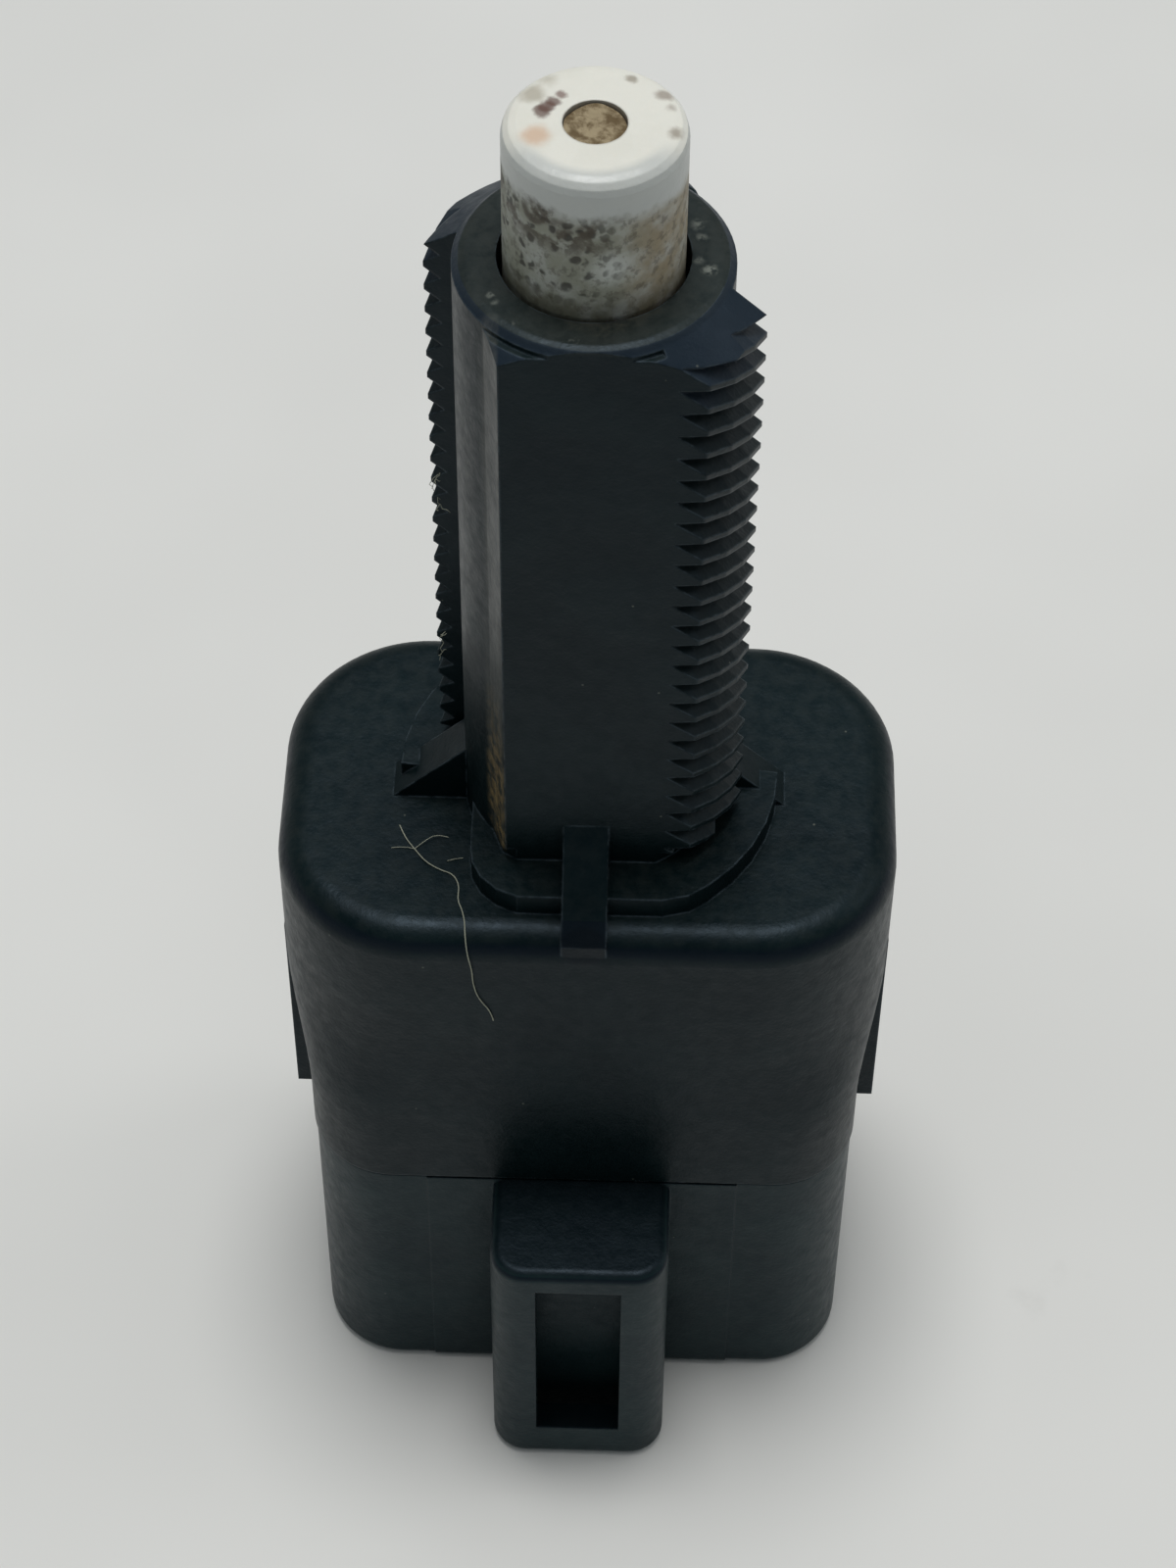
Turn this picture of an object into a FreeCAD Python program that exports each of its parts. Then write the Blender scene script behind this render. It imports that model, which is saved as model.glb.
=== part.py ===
import FreeCAD, Part
import math
import os

import Sketcher

# Brake light switch. Millimetres, +Z up.
# The origin lies on the barrel axis at the open rim of the connector, on which the switch stands.
# X runs across the wide side, and the latch loop faces -Y.

document = FreeCAD.newDocument("BrakeLightSwitch")
sizes = document.addObject("Spreadsheet::Sheet", "Sizes")

DRIVING_SIZES = {
    # cover
    "cover_top": 30.1,
    "top_half_width": 11.92,
    "top_half_depth": 7.8,
    "top_corner_radius": 5.5,
    "top_edge_radius": 1.2,
    "shoulder_low": 17.0,
    "shoulder_high": 23.4,
    "shoulder_flare": 0.82,
    "rim_draft": 0.1,
    "rim_corner_radius": 3.4,
    "roof_thickness": 1.8,
    "wall_thickness": 1.4,
    "chamber_corner_radius": 1.6,
    # seam and connector base
    "seam_height": 14.3,
    "seam_gap": 0.14,
    "seam_step": 0.08,
    "base_edge_radius": 0.5,
    "panel_half_width": 6.3,
    "panel_step": 0.08,
    "socket_corner_radius": 2.2,
    "web_thickness": 2.4,
    "plug_height": 0.7,
    "plug_clearance": 0.15,
    # latch loop on the base
    "loop_half_width": 3.6,
    "loop_reach": 4.68,
    "loop_corner_radius": 1.4,
    "loop_edge_radius": 0.45,
    "loop_plate": 1.2,
    "loop_slot_depth": 1.2,
    "loop_slot_half_width": 2.6,
    "window_half_width": 1.73,
    "window_sill": 2.2,
    "window_head": 13.0,
    # snap ears
    "ear_inset": 0.06,
    "ear_half_depth": 3.3,
    "tongue_half_depth": 1.8,
    "tongue_height": 4.7,
    "tongue_thickness": 0.8,
    "tongue_clearance": 0.2,
    "lug_height": 2.0,
    "lug_base": 1.9,
    # collar, gussets and rib
    "collar_height": 1.0,
    "collar_radius": 7.25,
    "collar_half_depth": 6.35,
    "collar_half_waist": 4.4,
    "gusset_thickness": 1.65,
    "gusset_reach": 7.55,
    "gusset_rise": 2.85,
    "rib_thickness": 1.7,
    "rib_rise": 3.1,
    "rib_reach": 7.75,
    # barrel
    "barrel_top": 57.9,
    "barrel_radius": 4.75,
    "barrel_edge": 0.45,
    "bore_clearance": 0.2,
    "flat_half_depth": 4.55,
    "flat_plain_end": 3.0,
    "step_angle": 41.6,
    # helical teeth
    "crest_radius": 6.0,
    "root_radius": 5.42,
    "crest_flat": 0.24,
    "tooth_pitch": 1.05,
    "tooth_count": 24.0,
    "tooth_rise": 0.043,
    "first_crest": 55.86,
    "teeth_start_angle": 14.6,
    "teeth_end_angle": 60.2,
    "neck_radius": 5.25,
    "neck_height": 0.6,
    "lead_slope": 36.0,
    # plunger
    "plunger_radius": 3.05,
    "plunger_tip": 63.6,
    "plunger_edge": 0.5,
    "tip_hole_radius": 1.05,
    "tip_hole_depth": 3.0,
    "spigot_radius": 1.5,
    "spigot_head": 1.8,
    "plunger_travel": 5.0,
    # carrier
    "hub_radius": 4.4,
    "hub_height": 7.1,
    "seat_depth": 1.5,
    "seat_floor": 1.3,
    "fit_clearance": 0.1,
    "arm_drop": 2.7,
    "arm_half_depth": 2.3,
    "arm_half_height": 2.15,
    "arm_lip": 0.8,
    "lip_margin": 0.3,
    # springs
    "return_wire": 0.5,
    "return_radius": 2.4,
    "return_turns": 8.0,
    "post_radius": 1.7,
    "post_height": 3.0,
    "bridge_wire": 0.3,
    "bridge_coil_radius": 1.0,
    "bridge_turns": 4.0,
    "bridge_spring_length": 2.2,
    # contacts
    "bridge_plate": 0.5,
    "bridge_half_length": 4.4,
    "bridge_half_height": 1.2,
    "contact_spacing": 3.3,
    "button_radius": 0.9,
    "button_thickness": 0.5,
    "rivet_radius": 0.5,
    "rivet_clearance": 0.05,
    "contact_gap": 0.1,
    "pad_radius": 1.1,
    "pad_thickness": 0.3,
    "riser_clearance": 0.4,
    "blade_thickness": 0.8,
    "blade_width": 2.8,
    "blade_spacing": 3.5,
    "blade_tip": 3.0,
    "blade_taper": 0.25,
    "terminal_bend_radius": 1.0,
}

for row, (name, amount) in enumerate(DRIVING_SIZES.items(), start=1):
    sizes.set("A%d" % row, name)
    sizes.set("B%d" % row, str(amount))
    sizes.setAlias("B%d" % row, name)
document.recompute()


def size(expression):
    """Number that an expression of the sheet's names stands for."""
    return float(sizes.evalExpression(named(expression)))


def named(expression):
    """Expression with every size name written as a cell of the sheet."""
    words = str(expression)
    for name in sorted(DRIVING_SIZES, key=len, reverse=True):
        words = replace_word(words, name)
    return words


def replace_word(words, name):
    """Put the sheet's name in front of a size name wherever it stands as a whole word."""
    parts = words.split(name)
    joined = parts[0]
    for before, after in zip(parts, parts[1:]):
        touches_before = joined[-1:].isalnum() or joined[-1:] in ("_", ".")
        touches_after = after[:1].isalnum() or after[:1] == "_"
        joined += (name if touches_before or touches_after else "Sizes." + name) + after
    return joined


# Heights and places that follow from the driving sizes
COLLAR_TOP = "(cover_top + collar_height)"
CHAMBER_ROOF = "(cover_top - roof_thickness)"
RIM_HALF_WIDTH = "(top_half_width - shoulder_flare)"
RIM_HALF_DEPTH = "(top_half_depth + rim_draft)"
BASE_HALF_WIDTH = "(top_half_width - shoulder_flare - seam_step)"
BASE_HALF_DEPTH = "(top_half_depth + rim_draft - seam_step)"
BASE_CORNER_RADIUS = "(rim_corner_radius - seam_step)"
EAR_HALF_WIDTH = "(top_half_width - ear_inset)"
CHAMBER_HALF_WIDTH = "(top_half_width - shoulder_flare - wall_thickness)"
CHAMBER_HALF_DEPTH = "(top_half_depth + rim_draft - wall_thickness - 0.1)"
LOOP_FRONT = "(top_half_depth + rim_draft - seam_step + loop_reach)"
WEB_TOP = "(seam_height + plug_height)"
WEB_UNDER = "(seam_height + plug_height - web_thickness)"
SEAT_TOP = "(cover_top - roof_thickness - seat_depth)"
SEAT_UNDER = "(cover_top - roof_thickness - seat_depth - seat_floor)"
HUB_UNDER = "(cover_top - roof_thickness - hub_height)"
BRIDGE_HEIGHT = "(cover_top - roof_thickness - arm_drop)"
RISER_BACK = CHAMBER_HALF_WIDTH[:-1] + " - riser_clearance)"
RISER_FACE = RISER_BACK[:-1] + " - blade_thickness)"
PAD_FACE = RISER_FACE[:-1] + " - pad_thickness)"
BUTTON_FACE = PAD_FACE[:-1] + " - contact_gap)"
BRIDGE_FACE = BUTTON_FACE[:-1] + " - button_thickness)"
BRIDGE_BACK = BRIDGE_FACE[:-1] + " - bridge_plate)"
BORE_RADIUS = "(plunger_radius + bore_clearance)"
RIVET_HOLE = "(rivet_radius + rivet_clearance)"
SPRING_BORE = "(return_radius + return_wire + 3 * fit_clearance)"
BEYOND = "(2 * cover_top)"
SHOULDER_STEPS = 6
TOOTH_SECTIONS = 5
SPRING_STATIONS = 12
SPRING_END_RISE = 1.15


def new_body(label):
    body = document.addObject("PartDesign::Body", label)
    body.Label = label
    return body


def new_sketch(body, plane, offset="0"):
    """Sketch on one of the body's own planes, moved along the plane's normal."""
    sketch = body.newObject("Sketcher::SketchObject", body.Label + "_sketch")
    origin_plane = [part for part in body.Origin.OriginFeatures if part.Role == plane][0]
    sketch.AttachmentSupport = [(origin_plane, "")]
    sketch.MapMode = "FlatFace"
    sketch.setExpression(".AttachmentOffset.Base.z", named(offset))
    return sketch


def bind(sketch, kind, *arguments):
    """Driving constraint whose amount is an expression of the sheet."""
    expression = arguments[-1]
    constraint = Sketcher.Constraint(kind, *arguments[:-1], size(expression))
    index = sketch.addConstraint(constraint)
    sketch.setExpression("Constraints[%d]" % index, named(expression))


def place_point(sketch, curve, end, across, along):
    bind(sketch, "DistanceX", -1, 1, curve, end, across)
    bind(sketch, "DistanceY", -1, 1, curve, end, along)


def draw_polygon(sketch, corners):
    """Closed outline of straight lines through corners given as pairs of expressions."""
    values = [(size(across), size(along)) for across, along in corners]
    points = [FreeCAD.Vector(across, along, 0) for across, along in values]
    lines = []
    for start, end in zip(points, points[1:] + points[:1]):
        lines.append(sketch.addGeometry(Part.LineSegment(start, end)))
    joints = []
    for line, following in zip(lines, lines[1:] + lines[:1]):
        joints.append(Sketcher.Constraint("Coincident", line, 2, following, 1))
    sketch.addConstraint(joints)
    places = []
    for line, (across, along) in zip(lines, values):
        places.append(Sketcher.Constraint("DistanceX", -1, 1, line, 1, across))
        places.append(Sketcher.Constraint("DistanceY", -1, 1, line, 1, along))
    numbers = sketch.addConstraint(places)
    bound = [expression for corner in corners for expression in corner]
    for number, expression in zip(numbers, bound):
        sketch.setExpression("Constraints[%d]" % number, named(expression))


def draw_rectangle(sketch, left, right, low, high):
    draw_polygon(sketch, [(left, low), (right, low), (right, high), (left, high)])


def draw_circle(sketch, across, along, radius):
    centre = FreeCAD.Vector(size(across), size(along), 0)
    circle = sketch.addGeometry(Part.Circle(centre, FreeCAD.Vector(0, 0, 1), size(radius)))
    place_point(sketch, circle, 3, across, along)
    bind(sketch, "Radius", circle, radius)


def draw_rounded_rectangle(sketch, half_width, half_depth, radius):
    """Rectangle about the sketch's origin with four equal corner arcs."""
    wide, deep, round_ = size(half_width), size(half_depth), size(radius)
    straight_x, straight_y = wide - round_, deep - round_
    ends = [
        ((-straight_x, -deep), (straight_x, -deep)),
        ((wide, -straight_y), (wide, straight_y)),
        ((straight_x, deep), (-straight_x, deep)),
        ((-wide, straight_y), (-wide, -straight_y)),
    ]
    lines = []
    arcs = []
    for start, end in ends:
        segment = Part.LineSegment(FreeCAD.Vector(*start, 0), FreeCAD.Vector(*end, 0))
        lines.append(sketch.addGeometry(segment))
    centres = [(1, -1), (1, 1), (-1, 1), (-1, -1)]
    for quarter, (side_x, side_y) in enumerate(centres):
        centre = FreeCAD.Vector(side_x * straight_x, side_y * straight_y, 0)
        circle = Part.Circle(centre, FreeCAD.Vector(0, 0, 1), round_)
        start_angle = math.radians(90 * (quarter - 1))
        arc = Part.ArcOfCircle(circle, start_angle, start_angle + math.pi / 2)
        arcs.append(sketch.addGeometry(arc))
    for index, line in enumerate(lines):
        sketch.addConstraint(Sketcher.Constraint("Tangent", line, 2, arcs[index], 1))
        following = lines[(index + 1) % 4]
        sketch.addConstraint(Sketcher.Constraint("Tangent", arcs[index], 2, following, 1))
    for arc in arcs[1:]:
        sketch.addConstraint(Sketcher.Constraint("Equal", arcs[0], arc))
    bind(sketch, "Radius", arcs[0], radius)
    sketch.addConstraint(Sketcher.Constraint("Horizontal", lines[0]))
    place_point(sketch, lines[0], 1, "%s - %s" % (radius, half_width), "-" + half_depth)
    place_point(sketch, lines[2], 1, "%s - %s" % (half_width, radius), half_depth)


def add_feature(body, kind, sketch):
    feature = body.newObject("PartDesign::" + kind, body.Label + "_" + kind.lower())
    feature.Profile = sketch
    return feature


def pad(body, sketch, length, reverse=False, both_ways=False):
    feature = add_feature(body, "Pad", sketch)
    feature.setExpression("Length", named(length))
    feature.Reversed = reverse
    if both_ways:
        feature.SideType = "Symmetric"
    document.recompute()
    return feature


def pocket(body, sketch, length, reverse=False, both_ways=False):
    """Cut, and make sure that it took material away."""
    before = body.Shape.Volume
    feature = add_feature(body, "Pocket", sketch)
    feature.setExpression("Length", named(length))
    feature.Reversed = reverse
    if both_ways:
        feature.SideType = "Symmetric"
    document.recompute()
    if not feature.Shape.Volume < before - 0.01:
        raise RuntimeError(feature.Name + " cut nothing")
    return feature


def revolve(body, sketch):
    """Turn a profile drawn on the XZ plane about the barrel axis."""
    feature = add_feature(body, "Revolution", sketch)
    feature.ReferenceAxis = (sketch, ["V_Axis"])
    feature.Angle = 360
    document.recompute()
    return feature


def round_edges(body, base, chosen, radius):
    """Fillet the edges of the last feature that the given test picks."""
    names = ["Edge%d" % (i + 1) for i, edge in enumerate(base.Shape.Edges) if chosen(edge)]
    feature = body.newObject("PartDesign::Fillet", body.Label + "_fillet")
    feature.Base = (base, names)
    feature.setExpression("Radius", named(radius))
    document.recompute()
    return feature


def groove(body, sketch):
    """Turned cut about the barrel axis, checked as the pockets are."""
    before = body.Shape.Volume
    feature = add_feature(body, "Groove", sketch)
    feature.ReferenceAxis = (sketch, ["V_Axis"])
    feature.Angle = 360
    document.recompute()
    if not feature.Shape.Volume < before - 0.01:
        raise RuntimeError(feature.Name + " cut nothing")
    return feature


def near(first, second):
    return abs(first - second) < 0.01


def flat_at(edge, height):
    return near(edge.BoundBox.ZMin, height) and near(edge.BoundBox.ZMax, height)


def rounded_corner(outer, top, radius):
    """Points down a turned edge, from the flat top out to the side."""
    points = []
    for angle in (90, 60, 30, 0):
        points.append(("%s - %s * (1 - cos(%d))" % (outer, radius, angle),
                       "%s - %s * (1 - sin(%d))" % (top, radius, angle)))
    return points


def draw_teeth(sketch):
    """Radial section of the toothed sector, from inside the barrel's wall out to the crests."""
    lowest = int(size("tooth_count")) + 1
    inside = "0.82 * barrel_radius"
    outline = [(inside, "first_crest - %.1f * tooth_pitch" % (lowest + 0.5))]
    outline.append(("root_radius", "first_crest - %.1f * tooth_pitch" % (lowest + 0.5)))
    for tooth in range(lowest, -3, -1):
        middle = "first_crest - %d * tooth_pitch" % tooth
        outline.append(("crest_radius", "%s - crest_flat / 2" % middle))
        outline.append(("crest_radius", "%s + crest_flat / 2" % middle))
        outline.append(("root_radius", "%s + tooth_pitch / 2" % middle))
    outline.append((inside, "first_crest + 2.5 * tooth_pitch"))
    draw_polygon(sketch, outline)


def add_helical_teeth(body):
    """Two sectors of inclined teeth, half a turn apart, beside the flats."""
    sections = []
    for index in range(TOOTH_SECTIONS):
        share = index / (TOOTH_SECTIONS - 1)
        turned = "%.4f * (teeth_end_angle - teeth_start_angle)" % share
        section = new_sketch(body, "XZ_Plane")
        section.AttachmentOffset = FreeCAD.Placement(
            FreeCAD.Vector(0, 0, 0), FreeCAD.Rotation(FreeCAD.Vector(0, 1, 0), -1))
        section.setExpression(".AttachmentOffset.Rotation.Angle",
                              named("-(teeth_start_angle + %s)" % turned))
        section.setExpression(".AttachmentOffset.Base.y", named("tooth_rise * %s" % turned))
        draw_teeth(section)
        sections.append(section)
    document.recompute()
    teeth = body.newObject("PartDesign::AdditiveLoft", "teeth")
    teeth.Profile = sections[0]
    teeth.Sections = sections[1:]
    teeth.Ruled = True
    document.recompute()
    return teeth


def collar_outline():
    """Collar: wide round the teeth, narrow beside the plain sectors, flat at front and back."""
    half = []
    for angle in range(0, 60, 10):
        half.append(("collar_radius * cos(%d)" % angle, "-collar_radius * sin(%d)" % angle))
    half += [
        ("0.62 * collar_half_depth", "-0.958 * collar_half_depth"),
        ("0.46 * collar_half_depth", "-collar_half_depth"),
        ("-0.40 * collar_half_depth", "-collar_half_depth"),
        ("-0.76 * collar_half_waist", "-0.945 * collar_half_depth"),
        ("-0.90 * collar_half_waist", "-0.855 * collar_half_depth"),
        ("-0.98 * collar_half_waist", "-0.745 * collar_half_depth"),
        ("-collar_half_waist", "-0.63 * collar_half_depth"),
        ("-collar_half_waist", "-0.2 * gusset_thickness"),
    ]
    return half + [("-(%s)" % across, "-(%s)" % along) for across, along in half]


def make_upper_housing():
    """Cover and toothed barrel, one moulding."""
    body = new_body("upper_housing")
    crown = new_sketch(body, "XY_Plane", "shoulder_high")
    draw_rounded_rectangle(crown, "top_half_width", "top_half_depth", "top_corner_radius")
    shell = pad(body, crown, "cover_top - shoulder_high")
    top = size("cover_top")
    round_edges(body, shell, lambda edge: flat_at(edge, top), "top_edge_radius")

    heights = ["seam_height"]
    swells = [0.0]
    for step in range(SHOULDER_STEPS + 1):
        share = step / SHOULDER_STEPS
        heights.append("shoulder_low + %.4f * (shoulder_high - shoulder_low)" % share)
        swells.append(share * share * (3 - 2 * share))
    sections = []
    for height, swell in zip(heights, swells):
        section = new_sketch(body, "XY_Plane", height)
        draw_rounded_rectangle(
            section,
            "(top_half_width - %.4f * shoulder_flare)" % (1 - swell),
            "(top_half_depth + %.4f * rim_draft)" % (1 - swell),
            "(rim_corner_radius + %.4f * (top_corner_radius - rim_corner_radius))" % swell)
        sections.append(section)
    document.recompute()
    skirt = body.newObject("PartDesign::AdditiveLoft", "skirt")
    skirt.Profile = sections[0]
    skirt.Sections = sections[1:]
    skirt.Ruled = True
    document.recompute()

    ears = new_sketch(body, "XY_Plane", "seam_height")
    draw_rectangle(ears, "-" + EAR_HALF_WIDTH, EAR_HALF_WIDTH, "-ear_half_depth",
                   "ear_half_depth")
    pad(body, ears, "shoulder_high + 1.5 - seam_height")
    collar = new_sketch(body, "XY_Plane", "cover_top - 0.5 * collar_height")
    draw_polygon(collar, collar_outline())
    pad(body, collar, "1.5 * collar_height")

    core = new_sketch(body, "XZ_Plane")
    core_foot = "cover_top - 0.3 * roof_thickness"
    draw_rectangle(core, "0", "barrel_radius", core_foot, "barrel_top + 0.5")
    revolve(body, core)
    teeth = add_helical_teeth(body)
    panel = new_sketch(body, "XY_Plane", COLLAR_TOP)
    draw_polygon(panel, [
        ("0", "0"),
        ("-barrel_radius * cos(step_angle)", "-barrel_radius * sin(step_angle)"),
        ("-flat_plain_end", "-flat_half_depth - 0.1"),
        ("flat_plain_end", "-flat_half_depth - 0.1"),
    ])
    face = pad(body, panel, "barrel_top - barrel_edge - %s" % COLLAR_TOP)
    body.Tip = face
    opposite = body.newObject("PartDesign::PolarPattern", "opposite_sector")
    opposite.Originals = [teeth, face]
    opposite.Axis = ([part for part in body.Origin.OriginFeatures if part.Role == "Z_Axis"][0],
                     [""])
    opposite.Angle = 360
    opposite.Occurrences = 2
    body.Tip = opposite
    document.recompute()

    trim = new_sketch(body, "XZ_Plane")
    reach = "1.4 * crest_radius"
    turned_edge = rounded_corner("barrel_radius", "barrel_top", "barrel_edge")[:-1]
    lead_start, lead_height = turned_edge[-1]
    draw_polygon(trim, [("0", "barrel_top")] + turned_edge + [
        (reach, "%s - (%s - (%s)) * tan(lead_slope)" % (lead_height, reach, lead_start)),
        (reach, "barrel_top + 5"),
        ("0", "barrel_top + 5"),
    ])
    groove(body, trim)
    neck = new_sketch(body, "XZ_Plane")
    draw_rectangle(neck, "neck_radius", reach, COLLAR_TOP, COLLAR_TOP + " + neck_height")
    groove(body, neck)
    flats = new_sketch(body, "XY_Plane", COLLAR_TOP)
    for side in ("", "-"):
        draw_rectangle(flats, "-%s" % reach, reach, side + "flat_half_depth",
                       "%s%s" % (side, reach))
    pocket(body, flats, "barrel_top - %s + 1" % COLLAR_TOP, reverse=True)

    inside = "0.8 * barrel_radius"
    gusset_top = "cover_top + gusset_rise + 0.2 * barrel_radius"
    gusset_foot = "cover_top - 0.5 * roof_thickness"
    for side in ("", "-"):
        gusset = new_sketch(body, "XZ_Plane")
        draw_polygon(gusset, [
            (side + inside, gusset_foot),
            (side + "gusset_reach", gusset_foot),
            (side + "gusset_reach", "cover_top"),
            (side + inside, gusset_top),
        ])
        pad(body, gusset, "gusset_thickness", both_ways=True)
    rib = new_sketch(body, "YZ_Plane")
    draw_polygon(rib, [
        ("-" + inside, gusset_foot),
        ("-rib_reach", gusset_foot),
        ("-rib_reach", "cover_top - 0.25"),
        ("-rib_reach + 0.6", "cover_top + 0.65"),
        ("-flat_half_depth", "cover_top + rib_rise"),
        ("-" + inside, "cover_top + rib_rise + 0.6"),
    ])
    pad(body, rib, "rib_thickness", both_ways=True)

    chamber = new_sketch(body, "XY_Plane", "seam_height")
    draw_rounded_rectangle(chamber, CHAMBER_HALF_WIDTH, CHAMBER_HALF_DEPTH,
                           "chamber_corner_radius")
    pocket(body, chamber, CHAMBER_ROOF + " - seam_height", reverse=True)
    slots = new_sketch(body, "XY_Plane", "seam_height")
    slot_depth = "tongue_half_depth + tongue_clearance"
    slot_reach = CHAMBER_HALF_WIDTH + " + tongue_thickness + tongue_clearance"
    draw_rectangle(slots, "-(%s)" % slot_reach, slot_reach, "-(%s)" % slot_depth, slot_depth)
    pocket(body, slots, "tongue_height + 3 * tongue_clearance", reverse=True)
    windows = new_sketch(body, "YZ_Plane")
    window_half = "tongue_half_depth - tongue_clearance"
    window_low = "seam_height + lug_base - tongue_clearance"
    draw_rectangle(windows, "-(%s)" % window_half, window_half, window_low,
                   "%s + lug_height + 2 * tongue_clearance" % window_low)
    pocket(body, windows, BEYOND, both_ways=True)
    bore = new_sketch(body, "XY_Plane", "barrel_top")
    draw_circle(bore, "0", "0", BORE_RADIUS)
    pocket(body, bore, "barrel_top - %s + 1" % CHAMBER_ROOF)
    return body


def make_connector_base():
    """Lower body: socket, latch loop, web, spring post and snap tongues, one moulding."""
    body = new_body("connector_base")
    base_top = "(seam_height - seam_gap)"
    outer = new_sketch(body, "XY_Plane")
    draw_rounded_rectangle(outer, BASE_HALF_WIDTH, BASE_HALF_DEPTH, BASE_CORNER_RADIUS)
    pad(body, outer, base_top)
    panel = new_sketch(body, "XY_Plane")
    panel_depth = "(%s + panel_step)" % BASE_HALF_DEPTH
    draw_rectangle(panel, "-panel_half_width", "panel_half_width", "-" + panel_depth, panel_depth)
    pad(body, panel, base_top)

    loop = new_sketch(body, "XY_Plane")
    draw_rectangle(loop, "-loop_half_width", "loop_half_width", "-" + LOOP_FRONT,
                   "-0.8 * " + BASE_HALF_DEPTH)
    block = pad(body, loop, base_top)
    front = -size(LOOP_FRONT)

    def front_corner(edge):
        box = edge.BoundBox
        return near(box.YMin, front) and near(box.YMax, front) and box.ZLength > 1
    block = round_edges(body, block, front_corner, "loop_corner_radius")
    high = size(base_top)
    edge_line = -size(panel_depth) - 0.01

    def loop_top(edge):
        return flat_at(edge, high) and edge.BoundBox.YMin < edge_line
    block = round_edges(body, block, loop_top, "loop_edge_radius")
    round_edges(body, block, lambda edge: flat_at(edge, 0), "base_edge_radius")

    socket = new_sketch(body, "XY_Plane")
    draw_rounded_rectangle(socket, "(%s - wall_thickness)" % BASE_HALF_WIDTH,
                           "(%s - wall_thickness)" % BASE_HALF_DEPTH, "socket_corner_radius")
    pocket(body, socket, WEB_UNDER, reverse=True)
    slot = new_sketch(body, "XY_Plane")
    slot_front = "loop_plate - " + LOOP_FRONT
    slot_back = slot_front + " + loop_slot_depth"
    draw_rectangle(slot, "-loop_slot_half_width", "loop_slot_half_width", slot_front, slot_back)
    pocket(body, slot, "window_head", reverse=True)
    relief = new_sketch(body, "XY_Plane")
    draw_rectangle(relief, "-loop_slot_half_width", "loop_slot_half_width",
                   slot_back + " + loop_plate", "-0.7 * " + BASE_HALF_DEPTH)
    pocket(body, relief, WEB_UNDER, reverse=True)
    window = new_sketch(body, "XZ_Plane", LOOP_FRONT)
    draw_rectangle(window, "-window_half_width", "window_half_width", "window_sill",
                   "window_head")
    pocket(body, window, "loop_plate + 0.5 * loop_slot_depth")

    plug = new_sketch(body, "XY_Plane", "(seam_height - plug_height)")
    draw_rounded_rectangle(plug, "(%s - plug_clearance)" % CHAMBER_HALF_WIDTH,
                           "(%s - plug_clearance)" % CHAMBER_HALF_DEPTH,
                           "chamber_corner_radius")
    pad(body, plug, "2 * plug_height")
    post = new_sketch(body, "XY_Plane", WEB_TOP)
    draw_circle(post, "0", "0", "post_radius")
    pad(body, post, "post_height")
    tongue_inner = CHAMBER_HALF_WIDTH
    tongue_outer = CHAMBER_HALF_WIDTH + " + tongue_thickness"
    for side in ("", "-"):
        tongue = new_sketch(body, "XY_Plane", "seam_height - plug_height")
        draw_rectangle(tongue, "%s(%s - plug_clearance)" % (side, tongue_inner),
                       "%s(%s)" % (side, tongue_outer), "-tongue_half_depth",
                       "tongue_half_depth")
        pad(body, tongue, "tongue_height + plug_height")
        lug = new_sketch(body, "XZ_Plane")
        lug_low = "seam_height + lug_base"
        lug_face = EAR_HALF_WIDTH + " - tongue_clearance"
        draw_polygon(lug, [
            ("%s(%s - 0.5 * tongue_thickness)" % (side, tongue_outer), lug_low),
            ("%s(%s)" % (side, lug_face), lug_low),
            ("%s(%s)" % (side, lug_face), lug_low + " + 0.3 * lug_height"),
            ("%s(%s)" % (side, tongue_outer), lug_low + " + lug_height"),
            ("%s(%s - 0.5 * tongue_thickness)" % (side, tongue_outer), lug_low + " + lug_height"),
        ])
        pad(body, lug, "2 * (tongue_half_depth - 2 * tongue_clearance)", both_ways=True)

    slots = new_sketch(body, "XY_Plane", WEB_TOP)
    half_thick = "(0.5 * blade_thickness + rivet_clearance)"
    half_wide = "(0.5 * blade_width + rivet_clearance)"
    for side in ("", "-"):
        for row in ("", "-"):
            draw_rectangle(slots, "%sblade_spacing - %s" % (side, half_thick),
                           "%sblade_spacing + %s" % (side, half_thick),
                           "%scontact_spacing - %s" % (row, half_wide),
                           "%scontact_spacing + %s" % (row, half_wide))
    pocket(body, slots, "web_thickness + 1")
    return body


def make_plunger():
    body = new_body("plunger")
    profile = new_sketch(body, "XZ_Plane")
    foot = SEAT_UNDER + " - rivet_clearance"
    draw_polygon(profile, [
        ("0", foot + " - 0.35"),
        ("spigot_head - 0.2", foot + " - 0.35"),
        ("spigot_head", foot),
        ("spigot_radius", foot),
        ("spigot_radius", SEAT_TOP),
        ("plunger_radius", SEAT_TOP),
        *rounded_corner("plunger_radius", "plunger_tip", "plunger_edge")[::-1],
        ("tip_hole_radius", "plunger_tip"),
        ("tip_hole_radius", "plunger_tip - tip_hole_depth"),
        ("0", "plunger_tip - tip_hole_depth"),
    ])
    revolve(body, profile)
    return body


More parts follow.
